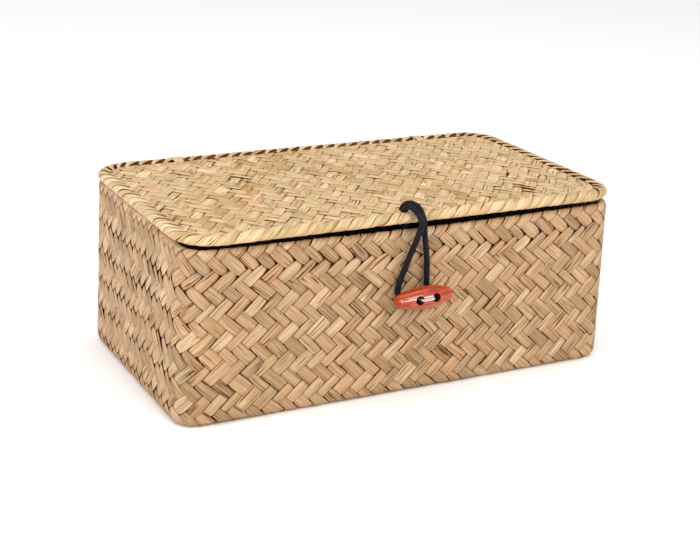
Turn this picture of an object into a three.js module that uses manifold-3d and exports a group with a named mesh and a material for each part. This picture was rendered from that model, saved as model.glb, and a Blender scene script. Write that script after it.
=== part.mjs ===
// A woven straw box with a hinged lid, closed by an elastic loop round a wooden toggle.
// Millimetres. X runs left to right, the front faces -Y, +Z is up.
// The origin is the middle of the underside, on the table.
import * as THREE from "three";
import { mergeVertices } from "three/addons/utils/BufferGeometryUtils.js";
import Module from "manifold-3d";

const wasm = await Module();
wasm.setup();

// Driving dimensions
const lidLength = 230; // left to right, the largest length
const lidDepth = 130; // front to back, the largest depth
const overallHeight = 90; // from the table to the top of the lid's rolled edge
const lidCornerRadius = 19;
const lidEdgeThickness = 5.4;
const lidOverhang = 2; // of the lid past the top of the walls, all round
const clearance = 0.3; // between neighbouring pieces

// Body
const footLengthGain = 4; // the foot is this much longer than the top
const footDepthLoss = 2; // and this much shallower
const bodyCornerRadius = 12;
const footEdgeRadius = 4.3;
const outerPlait = 1.4; // thickness of each plaited layer
const liningPlait = 1.2;
const rimRollPlait = 1.1;
const rimRollTop = 1.4; // thickness of the turned edge over the hoop
const rimRollReach = 6.3; // how far the turned edge comes down inside
const rimRollChamfer = 0.7;
const rimHoopHeight = 3;
const leastRadius = 0.5; // of a corner that its inset leaves

// Lid
const lidRollPlait = 1.2;
const lidRollWidth = 6.5; // of the rolled edge, from the lid's outline inwards
const lidHoopGap = 0.4; // between the hoop and the strips rolled round it
const lidTopPlait = 1;
const lidLiningGap = 0.2; // between the lining and the rolled edge under it

// Closure: two strands of one elastic cord, knotted under the lid
const cordDiameter = 2.8;
const cordHoleX = -4; // from the middle of the lid
const cordHoleInset = 9.9; // from the lid's front edge
const cordHoleRadius = 3.37;
const knotRadius = 3.1; // front to back
const knotFlatRadius = 3.05;
const knotHeight = 6;
const knotWidthShare = 1.35; // its width left to right as a share of its depth

// The cord's centre line, from the knot up through the lid, down its left strand,
// round behind the toggle, and back up to the knot
const cordRoute = [
  [-4.8, -56.2, 84.6], [-4.8, -56.2, 88.6], [-4.9, -56.7, 90.8], [-5.1, -58.2, 92.1],
  [-5.1, -60.5, 92.3], [-4.7, -63.2, 92.1], [-4.0, -65.5, 91.8], [-3.0, -67.9, 91.3],
  [-2.1, -69.5, 90.2], [-1.8, -70.0, 88.4], [-2.2, -69.9, 86.0], [-3.2, -68.6, 79.6],
  [-5.0, -67.0, 72.5], [-7.1, -65.8, 65.0], [-8.9, -64.9, 58.5], [-9.8, -64.5, 54.0],
  [-8.6, -64.4, 50.0], [-4.9, -64.4, 47.2], [0.0, -64.4, 47.2], [4.0, -64.4, 50.0],
  [5.4, -64.5, 54.0], [5.0, -65.0, 60.0], [4.0, -65.7, 67.8], [2.7, -66.3, 73.6],
  [1.4, -66.8, 79.4], [0.7, -67.0, 85.0], [0.1, -67.1, 87.8], [-0.3, -66.9, 90.0],
  [-0.5, -65.7, 91.8], [-0.9, -63.4, 92.6], [-1.9, -60.5, 93.2], [-2.8, -57.6, 93.3],
  [-3.2, -55.1, 92.1], [-3.2, -53.8, 89.8], [-3.2, -53.7, 87.0], [-3.2, -53.7, 84.6],
];

// Toggle and the thread that holds it
const toggleLength = 28.2;
const toggleDiameter = 10.6;
const toggleEndDiameter = 6.4;
const toggleEndRound = 1.2;
const toggleHoleDiameter = 4.2;
const toggleHoleSpacing = 8.6;
const toggleMiddleX = -0.75;
const toggleHeight = 52; // of its axis above the table
const toggleStandoff = 4.8; // from the wall to the toggle's back
const threadDiameter = 1.2;
const threadBend = 1.1; // radius of the thread's turns
const shankDiameter = 2.4;
const stopKnotDiameter = 5.2;
const stopKnotThickness = 2.6;

// Hinge: two straw bands looped through the back wall and the lid
const bandWidth = 5;
const bandThickness = 0.8;
const bandSpacing = 140; // between the middles of the two
const bandRound = 1.6; // radius of its outer corners
const bandSlotInset = 10; // of the lid's slots from its back edge
const bandSlotDrop = 1.4; // of the wall's slots below the rim's turned edge

// Faceting
const cornerSteps = 4;
const filletSteps = 4;
const tubeSides = 8;
const roundSides = 24;
const cordSteps = 60;
const profileSteps = 8;
const overrun = 2; // of a cut past the faces that it goes through

const bodyHeight = overallHeight - lidEdgeThickness - clearance;
const topLength = lidLength - 2 * lidOverhang;
const topDepth = lidDepth - 2 * lidOverhang;
const liningInset = outerPlait + clearance;
const rollInset = liningInset + liningPlait + clearance;
const rollTopZ = bodyHeight - rimRollTop;
const rollFootZ = bodyHeight - rimRollReach;
const hoopTopZ = rollTopZ - clearance;
const hoopFootZ = hoopTopZ - rimHoopHeight;
const lidFootZ = bodyHeight + clearance;

// A round-cornered rectangle as points, anticlockwise from above
function planOutline(length, depth, radius) {
  const x = length / 2 - radius;
  const y = depth / 2 - radius;
  const quarter = Math.PI / 2;
  const path = new THREE.Path();
  path.absarc(x, y, radius, 0, quarter);
  path.absarc(-x, y, radius, quarter, 2 * quarter);
  path.absarc(-x, -y, radius, 2 * quarter, 3 * quarter);
  path.absarc(x, -y, radius, 3 * quarter, 4 * quarter);
  return path.getPoints(cornerSteps);
}

// The body's outline at a height, moved inwards by an inset
function bodyRing([inset, z]) {
  const share = z / bodyHeight;
  const length = topLength + footLengthGain * (1 - share) - 2 * inset;
  const depth = topDepth - footDepthLoss * (1 - share) - 2 * inset;
  const radius = Math.max(bodyCornerRadius - inset, leastRadius);
  return planOutline(length, depth, radius).map((p) => new THREE.Vector3(p.x, p.y, z));
}

function lidRing([inset, z]) {
  const radius = Math.max(lidCornerRadius - inset, leastRadius);
  const outline = planOutline(lidLength - 2 * inset, lidDepth - 2 * inset, radius);
  return outline.map((p) => new THREE.Vector3(p.x, p.y, z));
}

// Half the body's depth at a height: how far its wall stands from the middle
const wallHalfDepth = (z) => (topDepth - footDepthLoss * (1 - z / bodyHeight)) / 2;

// Joins rings of points into one closed surface. A closed loft runs back to its first ring,
// an open one has a flat cap on its first and last ring.
function loft(rings, closed) {
  const count = rings[0].length;
  const points = rings.flat();
  const index = [];
  const last = closed ? rings.length : rings.length - 1;
  for (let k = 0; k < last; k += 1) {
    const lower = k * count;
    const upper = ((k + 1) % rings.length) * count;
    for (let i = 0; i < count; i += 1) {
      const j = (i + 1) % count;
      index.push(lower + i, lower + j, upper + j, lower + i, upper + j, upper + i);
    }
  }
  if (!closed) {
    const middle = (ring) => ring.reduce((sum, p) => sum.add(p), new THREE.Vector3()).divideScalar(count);
    const foot = points.push(middle(rings[0])) - 1;
    const head = points.push(middle(rings[rings.length - 1])) - 1;
    const top = (rings.length - 1) * count;
    for (let i = 0; i < count; i += 1) {
      const j = (i + 1) % count;
      index.push(foot, j, i, head, top + i, top + j);
    }
  }
  const geometry = new THREE.BufferGeometry().setFromPoints(points);
  geometry.setIndex(index);
  geometry.computeVertexNormals();
  return geometry;
}

// Points of a quarter circle, given as insets and heights, from one angle to another
function quarter(centreInset, centreZ, radius, fromShare, toShare) {
  const points = [];
  for (let k = 0; k <= filletSteps; k += 1) {
    const turn = (fromShare + ((toShare - fromShare) * k) / filletSteps) * 2 * Math.PI;
    points.push([centreInset - radius * Math.cos(turn), centreZ + radius * Math.sin(turn)]);
  }
  return points;
}

// Cuts and joins
function solid(geometry) {
  const bare = geometry.clone();
  bare.deleteAttribute("normal");
  bare.deleteAttribute("uv");
  const merged = mergeVertices(bare, clearance / 1000);
  const kept = [];
  const index = merged.index.array;
  for (let i = 0; i < index.length; i += 3) {
    const [a, b, c] = [index[i], index[i + 1], index[i + 2]];
    if (a !== b && b !== c && c !== a) kept.push(a, b, c);
  }
  return new wasm.Manifold(
    new wasm.Mesh({
      numProp: 3,
      vertProperties: merged.attributes.position.array,
      triVerts: new Uint32Array(kept),
    }),
  );
}

function shapeOf(made) {
  const mesh = made.getMesh();
  const geometry = new THREE.BufferGeometry();
  geometry.setAttribute("position", new THREE.BufferAttribute(mesh.vertProperties, 3));
  geometry.setIndex(new THREE.BufferAttribute(mesh.triVerts, 1));
  geometry.computeVertexNormals();
  return geometry;
}

function cut(geometry, ...cutters) {
  return shapeOf(cutters.reduce((left, cutter) => left.subtract(solid(cutter)), solid(geometry)));
}

// A round bar that lies along Y between two faces
function barAlongY(diameter, fromY, toY, x, z, sides) {
  const bar = new THREE.CylinderGeometry(diameter / 2, diameter / 2, Math.abs(toY - fromY), sides);
  return bar.translate(x, (fromY + toY) / 2, z);
}

function tube(curve, diameter, steps) {
  const section = new THREE.Shape();
  for (let k = 0; k < tubeSides; k += 1) {
    const turn = (2 * Math.PI * k) / tubeSides;
    const x = (diameter / 2) * Math.cos(turn);
    const y = (diameter / 2) * Math.sin(turn);
    if (k === 0) section.moveTo(x, y);
    else section.lineTo(x, y);
  }
  section.closePath();
  return new THREE.ExtrudeGeometry(section, { steps, extrudePath: curve, curveSegments: 1 });
}

const finish = (color, roughness) => new THREE.MeshStandardMaterial({ color, roughness, metalness: 0 });
const bodyStraw = finish(0xb58e60, 0.8);
const lidStraw = finish(0xc8a671, 0.78);
const liningStraw = finish(0xbd9a68, 0.85);
const cane = finish(0x9a774c, 0.6);
const elastic = finish(0x1c1b20, 0.85);
const lacquer = finish(0xb5381c, 0.25);
const cotton = finish(0xd8ccb2, 0.9);

const box = new THREE.Group();
const bodyGroup = new THREE.Group();
const lidGroup = new THREE.Group();
const toggleGroup = new THREE.Group();
box.add(bodyGroup, lidGroup, toggleGroup);

function piece(group, name, geometry, material) {
  const mesh = new THREE.Mesh(geometry, material);
  mesh.name = name;
  group.add(mesh);
}

// Openings through the walls
const wallY = wallHalfDepth(toggleHeight);
const innerWallY = wallY - liningInset - liningPlait;
const bandSlotZ = rollFootZ - bandSlotDrop;
const bandPlaces = [
  ["left", -bandSpacing / 2],
  ["right", bandSpacing / 2],
];
const slotDepth = outerPlait + liningPlait + clearance + 2 * overrun;
const slotMiddleY = wallHalfDepth(bandSlotZ) - (outerPlait + clearance + liningPlait) / 2;

const wallSlots = () =>
  bandPlaces.map(([, x]) => {
    const slot = new THREE.BoxGeometry(
      bandWidth + 2 * clearance,
      slotDepth,
      bandThickness + 2 * clearance,
    );
    return slot.translate(x, slotMiddleY, bandSlotZ);
  });

const shankHole = () =>
  barAlongY(
    shankDiameter + 2 * clearance,
    -wallY - overrun,
    -innerWallY + overrun,
    toggleMiddleX,
    toggleHeight,
    roundSides,
  );

// The plaited outside: walls and base in one
function outerWeave() {
  const innerFootRadius = footEdgeRadius - outerPlait;
  const profile = [
    ...quarter(footEdgeRadius, footEdgeRadius, footEdgeRadius, -0.25, 0),
    [0, rollTopZ - clearance],
    [outerPlait, rollTopZ - clearance],
    ...quarter(footEdgeRadius, footEdgeRadius, innerFootRadius, 0, -0.25),
  ];
  return cut(loft(profile.map(bodyRing), false), shankHole(), ...wallSlots());
}

// The plaited lining inside it, up to the foot of the hoop
function liningWeave() {
  const outsideRadius = footEdgeRadius - liningInset;
  const insideRadius = outsideRadius - liningPlait;
  const profile = [
    ...quarter(footEdgeRadius, footEdgeRadius, outsideRadius, -0.25, 0),
    [liningInset, hoopFootZ - clearance],
    [liningInset + liningPlait, hoopFootZ - clearance],
    ...quarter(footEdgeRadius, footEdgeRadius, insideRadius, 0, -0.25),
  ];
  return cut(loft(profile.map(bodyRing), false), shankHole(), ...wallSlots());
}

// A flat cane hoop that keeps the rim straight
function rimHoop() {
  const profile = [
    [liningInset, hoopFootZ],
    [liningInset, hoopTopZ],
    [liningInset + liningPlait, hoopTopZ],
    [liningInset + liningPlait, hoopFootZ],
  ];
  return loft(profile.map(bodyRing), true);
}

// The strips turned over the hoop and down inside
function rimRoll() {
  const inside = rollInset + rimRollPlait;
  const profile = [
    [0, rollTopZ],
    [0, bodyHeight - rimRollChamfer],
    [rimRollChamfer, bodyHeight],
    [inside - rimRollChamfer, bodyHeight],
    [inside, bodyHeight - rimRollChamfer],
    [inside, rollFootZ],
    [rollInset, rollFootZ],
    [rollInset, rollTopZ],
  ];
  return loft(profile.map(bodyRing), true);
}

piece(bodyGroup, "body_outer_weave", outerWeave(), bodyStraw);
piece(bodyGroup, "body_lining_weave", liningWeave(), liningStraw);
piece(bodyGroup, "rim_hoop", rimHoop(), cane);
piece(bodyGroup, "rim_roll", rimRoll(), bodyStraw);

// Lid, seen in section from its outline inwards
const lidRollRadius = lidEdgeThickness / 2;
const lidMiddleZ = lidFootZ + lidRollRadius;
const lidHoopDiameter = lidEdgeThickness - 2 * (lidRollPlait + lidHoopGap);
const lidHoopInset = lidRollPlait + clearance + lidHoopDiameter / 2;
const sheetInset = lidHoopInset + lidHoopDiameter / 2 + clearance;
const lidTopZ = overallHeight - lidRollPlait - clearance;
const lidLiningTopZ = lidTopZ - lidTopPlait - clearance;
const lidLiningFootZ = lidFootZ + lidRollPlait + lidLiningGap;
const cordHoleY = -lidDepth / 2 + cordHoleInset;
const bandSlotY = lidDepth / 2 - bandSlotInset;

const lidCuts = () => {
  const height = overallHeight - lidFootZ + 2 * overrun;
  const hole = new THREE.CylinderGeometry(cordHoleRadius, cordHoleRadius, height, roundSides);
  hole.rotateX(Math.PI / 2).translate(cordHoleX, cordHoleY, lidMiddleZ);
  const slots = bandPlaces.map(([, x]) => {
    const slot = new THREE.BoxGeometry(bandWidth + 2 * clearance, bandThickness + 2 * clearance, height);
    return slot.translate(x, bandSlotY, lidMiddleZ);
  });
  return [hole, ...slots];
};

const sheet = (footZ, topZ) =>
  cut(loft([lidRing([sheetInset, footZ]), lidRing([sheetInset, topZ])], false), ...lidCuts());

// The strips rolled round the lid's hoop and tucked in above and below
function lidRoll() {
  const innerRadius = lidRollRadius - lidRollPlait;
  const profile = [
    [lidRollWidth, lidFootZ],
    ...quarter(lidRollRadius, lidMiddleZ, lidRollRadius, -0.25, 0),
    ...quarter(lidRollRadius, lidMiddleZ, lidRollRadius, 0, 0.25).slice(1),
    [lidRollWidth, overallHeight],
    [lidRollWidth, overallHeight - lidRollPlait],
    ...quarter(lidRollRadius, lidMiddleZ, innerRadius, 0.25, 0),
    ...quarter(lidRollRadius, lidMiddleZ, innerRadius, 0, -0.25).slice(1),
    [lidRollWidth, lidFootZ + lidRollPlait],
  ];
  return loft(profile.map(lidRing), true);
}

function lidHoop() {
  const profile = [];
  for (let k = 0; k < tubeSides; k += 1) {
    const turn = (2 * Math.PI * k) / tubeSides;
    const radius = lidHoopDiameter / 2;
    profile.push([lidHoopInset - radius * Math.cos(turn), lidMiddleZ + radius * Math.sin(turn)]);
  }
  return loft(profile.map(lidRing), true);
}

piece(lidGroup, "lid_top_weave", sheet(lidTopZ - lidTopPlait, lidTopZ), lidStraw);
piece(lidGroup, "lid_lining_weave", sheet(lidLiningFootZ, lidLiningTopZ), liningStraw);
piece(lidGroup, "lid_hoop", lidHoop(), cane);
piece(lidGroup, "lid_edge_roll", lidRoll(), lidStraw);

// Closure cord and the knot that keeps both its ends under the lid
function closureLoop() {
  const points = cordRoute.map(([x, y, z]) => new THREE.Vector3(x, y, z));
  const curve = new THREE.CatmullRomCurve3(points, false, "centripetal");
  return tube(curve, cordDiameter, cordSteps);
}

function closureKnot() {
  const topZ = lidFootZ - clearance;
  const profile = [new THREE.Vector2(0, topZ - knotHeight)];
  const belly = knotHeight / 2;
  for (let k = 1; k < profileSteps; k += 1) {
    const turn = (Math.PI * k) / profileSteps;
    profile.push(new THREE.Vector2(knotRadius * Math.sin(turn), topZ - belly - belly * Math.cos(turn)));
  }
  const lower = profile.filter((p) => p.y < topZ - belly + clearance);
  const outline = [...lower, new THREE.Vector2(knotFlatRadius, topZ), new THREE.Vector2(0, topZ)];
  const knot = new THREE.LatheGeometry(outline, roundSides);
  knot.rotateX(Math.PI / 2).scale(knotWidthShare, 1, 1);
  return knot.translate(cordHoleX, cordHoleY, 0);
}

piece(lidGroup, "closure_loop", closureLoop(), elastic);
piece(lidGroup, "closure_knot", closureKnot(), elastic);

// Toggle, turned on its long axis and drilled twice
const toggleBackY = -wallY - toggleStandoff;
const toggleY = toggleBackY - toggleDiameter / 2;
const toggleFrontY = toggleY - toggleDiameter / 2;

function toggle() {
  const half = toggleLength / 2;
  const endRadius = toggleEndDiameter / 2;
  const swell = toggleDiameter / 2 - endRadius;
  const side = [];
  for (let k = 0; k <= profileSteps; k += 1) {
    const along = (k / profileSteps) * (half - toggleEndRound);
    const share = along / half;
    side.push(new THREE.Vector2(endRadius + swell * (1 - share * share), along));
  }
  const end = side[side.length - 1];
  for (let k = 1; k <= filletSteps; k += 1) {
    const turn = (Math.PI / 2) * (k / filletSteps);
    const x = end.x - toggleEndRound * (1 - Math.cos(turn));
    side.push(new THREE.Vector2(x, half - toggleEndRound + toggleEndRound * Math.sin(turn)));
  }
  side.push(new THREE.Vector2(0, half));
  const mirrored = side.slice(1).reverse().map((p) => new THREE.Vector2(p.x, -p.y));
  const barrel = new THREE.LatheGeometry([...mirrored, ...side], roundSides);
  barrel.rotateZ(Math.PI / 2).translate(toggleMiddleX, toggleY, toggleHeight);
  const holes = [-1, 1].map((way) =>
    barAlongY(
      toggleHoleDiameter,
      toggleFrontY - overrun,
      toggleBackY + overrun,
      toggleMiddleX + (way * toggleHoleSpacing) / 2,
      toggleHeight,
      roundSides,
    ),
  );
  return cut(barrel, ...holes);
}

// One thread through both holes: across the front, and its two ends together at the back
const threadBackY = toggleBackY + clearance + threadDiameter / 2;
const threadFrontY = toggleFrontY - clearance - threadDiameter / 2;

function toggleThread() {
  const holeRadius = toggleHoleDiameter / 2;
  const legX = toggleHoleSpacing / 2 - holeRadius + threadDiameter / 2 + clearance;
  const at = (x, y) => new THREE.Vector3(toggleMiddleX + x, y, toggleHeight);
  const path = new THREE.CurvePath();
  const line = (from, to) => path.add(new THREE.LineCurve3(from, to));
  const bend = (from, corner, to) => path.add(new THREE.QuadraticBezierCurve3(from, corner, to));
  const gap = clearance / 2;
  const inX = legX - threadBend;
  line(at(gap, threadBackY), at(inX, threadBackY));
  bend(at(inX, threadBackY), at(legX, threadBackY), at(legX, threadBackY - threadBend));
  line(at(legX, threadBackY - threadBend), at(legX, threadFrontY + threadBend));
  bend(at(legX, threadFrontY + threadBend), at(legX, threadFrontY), at(inX, threadFrontY));
  line(at(inX, threadFrontY), at(-inX, threadFrontY));
  bend(at(-inX, threadFrontY), at(-legX, threadFrontY), at(-legX, threadFrontY + threadBend));
  line(at(-legX, threadFrontY + threadBend), at(-legX, threadBackY - threadBend));
  bend(at(-legX, threadBackY - threadBend), at(-legX, threadBackY), at(-inX, threadBackY));
  line(at(-inX, threadBackY), at(-gap, threadBackY));
  return tube(path, threadDiameter, cordSteps);
}

// The thread wound into a shank, through the wall to a knot inside
const shankEndY = threadBackY + threadDiameter / 2 + clearance;
const shankInnerY = -innerWallY + clearance;
const stopKnotY = shankInnerY + clearance;

function stopKnot() {
  const half = stopKnotThickness / 2;
  const profile = [];
  for (let k = 0; k <= profileSteps; k += 1) {
    const turn = (Math.PI * k) / profileSteps;
    const radius = (stopKnotDiameter / 2) * Math.sin(turn);
    profile.push(new THREE.Vector2(k === 0 || k === profileSteps ? 0 : radius, -half * Math.cos(turn)));
  }
  const knot = new THREE.LatheGeometry(profile, roundSides);
  return knot.translate(toggleMiddleX, stopKnotY + half, toggleHeight);
}

piece(toggleGroup, "toggle", toggle(), lacquer);
piece(toggleGroup, "toggle_thread", toggleThread(), cotton);
const shank = barAlongY(
  shankDiameter,
  shankEndY,
  shankInnerY,
  toggleMiddleX,
  toggleHeight,
  roundSides,
);
piece(bodyGroup, "toggle_shank", shank, cotton);
piece(bodyGroup, "toggle_stop_knot", stopKnot(), cotton);

// Hinge bands: each one a closed loop round the rim and the lid's back edge
function hingeBand(middleX) {
  const halfBand = bandThickness / 2;
  const outsideY = lidDepth / 2 + clearance + halfBand;
  const wallOutsideY = wallHalfDepth(bandSlotZ) + clearance + halfBand;
  const overZ = overallHeight + clearance + halfBand;
  const rollMiddleY = lidDepth / 2 - lidRollRadius;
  const facet = (outsideY - rollMiddleY) * Math.tan(Math.PI / 8);
  const insideY = wallHalfDepth(bandSlotZ) - rollInset - rimRollPlait - clearance - halfBand;
  const corners = [
    [insideY, bandSlotZ],
    [wallOutsideY, bandSlotZ],
    [outsideY, lidFootZ],
    [outsideY, lidMiddleZ + facet],
    [rollMiddleY + facet, overZ],
    [bandSlotY, overZ],
    [bandSlotY, lidLiningFootZ],
  ].map(([y, z]) => new THREE.Vector2(y, z));
  const outer = offsetOutline(corners, halfBand, bandRound);
  const inner = offsetOutline(corners, -halfBand, bandRound - bandThickness);
  const shape = new THREE.Shape(outer);
  shape.holes.push(new THREE.Path(inner));
  const band = new THREE.ExtrudeGeometry(shape, { depth: bandWidth, steps: 1, bevelEnabled: false });
  // The outline lies in Y and Z, and the width along X
  const turn = new THREE.Matrix4().makeBasis(
    new THREE.Vector3(0, 1, 0),
    new THREE.Vector3(0, 0, 1),
    new THREE.Vector3(1, 0, 0),
  );
  return band.applyMatrix4(turn).translate(middleX - bandWidth / 2, 0, 0);
}

// Moves a closed outline outwards, and rounds its corners with short arcs
function offsetOutline(corners, distance, radius) {
  const count = corners.length;
  const moved = corners.map((corner, i) => {
    const before = corner.clone().sub(corners[(i + count - 1) % count]).normalize();
    const after = corners[(i + 1) % count].clone().sub(corner).normalize();
    const normal = new THREE.Vector2(before.y + after.y, -before.x - after.x).normalize();
    const stretch = normal.x * after.y - normal.y * after.x;
    return corner.clone().addScaledVector(normal, distance / stretch);
  });
  const points = [];
  moved.forEach((corner, i) => {
    const before = moved[(i + count - 1) % count].clone().sub(corner).normalize();
    const after = moved[(i + 1) % count].clone().sub(corner).normalize();
    const halfAngle = Math.acos(before.dot(after)) / 2;
    const reach = radius / Math.tan(halfAngle);
    const from = corner.clone().addScaledVector(before, reach);
    const to = corner.clone().addScaledVector(after, reach);
    const arc = new THREE.QuadraticBezierCurve(from, corner, to);
    points.push(...arc.getPoints(filletSteps));
  });
  return points;
}

for (const [side, x] of bandPlaces) piece(bodyGroup, `hinge_band_${side}`, hingeBand(x), bodyStraw);

export default box;
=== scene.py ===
# The looks of a plaited straw box with a hinged lid, an elastic loop and a wooden toggle.
import math

import bpy
import numpy as np
from mathutils import Matrix, Vector


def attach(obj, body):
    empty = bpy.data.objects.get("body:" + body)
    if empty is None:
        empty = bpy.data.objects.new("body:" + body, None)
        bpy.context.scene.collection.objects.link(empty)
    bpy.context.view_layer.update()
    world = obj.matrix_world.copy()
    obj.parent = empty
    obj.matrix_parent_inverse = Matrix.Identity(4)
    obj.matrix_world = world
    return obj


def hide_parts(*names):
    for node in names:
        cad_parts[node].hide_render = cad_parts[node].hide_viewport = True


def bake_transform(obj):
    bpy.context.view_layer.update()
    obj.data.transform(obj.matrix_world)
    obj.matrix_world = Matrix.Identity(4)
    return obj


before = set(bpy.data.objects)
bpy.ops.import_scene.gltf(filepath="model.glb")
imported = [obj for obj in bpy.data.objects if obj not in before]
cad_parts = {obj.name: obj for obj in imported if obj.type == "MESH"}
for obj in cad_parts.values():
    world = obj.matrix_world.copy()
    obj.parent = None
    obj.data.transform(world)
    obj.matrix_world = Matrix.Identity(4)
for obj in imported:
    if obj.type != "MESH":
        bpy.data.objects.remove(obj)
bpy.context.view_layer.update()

mm = 0.001  # every size below is in millimetres, and turns to metres where a mesh is made

# Fitted to the outline of the box in the photograph, with its three stated sizes
camera = {
    "target": (0, 0, 45), "azimuth": -28.33, "elevation": 19.09, "roll": 2.5, "distance": 712.6,
    "focalPixels": 1421, "framePixels": 700, "shiftPixels": (-0.79, -5.33), "sensor": 36,
}


def newObject(name, data):
    thing = bpy.data.objects.new(name, data)
    bpy.context.collection.objects.link(thing)
    return thing


def placeCamera():
    turn, rise = math.radians(camera["azimuth"]), math.radians(camera["elevation"])
    back = Vector((math.sin(turn) * math.cos(rise), -math.cos(turn) * math.cos(rise), math.sin(rise)))
    level = Vector((math.cos(turn), math.sin(turn), 0))
    up = back.cross(level)
    roll = math.radians(camera["roll"])
    right = level * math.cos(roll) + up * math.sin(roll)
    top = up * math.cos(roll) - level * math.sin(roll)
    matrix = Matrix((right, top, back)).transposed().to_4x4()
    matrix.translation = (Vector(camera["target"]) + back * camera["distance"]) * mm
    data = bpy.data.cameras.new("photoCamera")
    data.sensor_width = camera["sensor"]
    data.lens = camera["focalPixels"] / camera["framePixels"] * camera["sensor"]
    data.shift_x, data.shift_y = (p / camera["framePixels"] for p in camera["shiftPixels"])
    data.clip_start, data.clip_end = 0.05, 20
    eye = newObject("photoCamera", data)
    eye.matrix_world = matrix
    bpy.context.scene.camera = eye


placeCamera()
print("camera placed")


def toLinear(code):
    parts = [int(code[i : i + 2], 16) / 255 for i in (1, 3, 5)]
    return tuple(c / 12.92 if c <= 0.04045 else ((c + 0.055) / 1.055) ** 2.4 for c in parts) + (1,)


# Sets a node's inputs: a (node, output) pair is linked, and anything else is a fixed value
def setInputs(node, inputs):
    for name, value in inputs.items():
        if isinstance(value, tuple) and isinstance(value[0], bpy.types.Node):
            node.id_data.links.new(value[0].outputs[value[1]], node.inputs[name])
        else:
            node.inputs[name].default_value = value


# Adds a node with its settings and inputs. Colour stops are for a ramp
def addNode(material, kind, inputs, stops=(), **settings):
    node = material.node_tree.nodes.new(kind)
    for name, value in settings.items():
        setattr(node, name, value)
    if stops:
        places = node.color_ramp.elements
        while len(places) < len(stops):
            places.new(0.5)
        # Places before colours, because a stop that moves can change the order
        for element, (place, code) in zip(places, stops):
            element.position = place
        for element, (place, code) in zip(places, stops):
            element.color = toLinear(code)
    setInputs(node, inputs)
    return node


def newMaterial(name, inputs):
    material = bpy.data.materials.new(name)
    material.use_nodes = True
    shader = material.node_tree.nodes["Principled BSDF"]
    setInputs(shader, inputs)
    return material, shader


# Dried sedge, flattened and plaited: satin, with fine fibres along each strip, so a highlight
# breaks into streaks, and every strip has its own tan. Its edges are painted a little darker, as
# painted shade where neighbouring strips meet.
sedgeLook = {
    # The dark red-brown #6B3413 is painted shade, for the parts of strips that go under others
    "tint": "#DDBE96", "sunkShadeTone": "#6B3413", "splitTone": "#9A744E", "bump": 0.75,
    "edgeSpan": (2.1, 2.4), "fineShade": (0.72, 1.22), "creaseShade": (-0.12, 0.10),
    "warmth": {"Red": 1, "Green": 1.4, "Blue": 2.1},  # dark fibres are also browner
}
# Length and width of each grain in mm, its seed, detail and roughness. Real fibres are about
# 0.15 mm wide, too fine to show here, so the fine ones are drawn 0.62 mm wide.
sedgeGrains = {
    "fine": (14, 0.62, 91, 3.0, 0.6), "crease": (45, 1.1, 57, 1.5, 0.5), "patch": (20, 9, 23, 2.0, 0.5),
    "spot": (4.5, 1.6, 131, 1.0, 0.5), "split": (16, 0.42, 211, 0.0, 0.5), "worn": (18, 7, 77, 0.0, 0.5),
}


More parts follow.
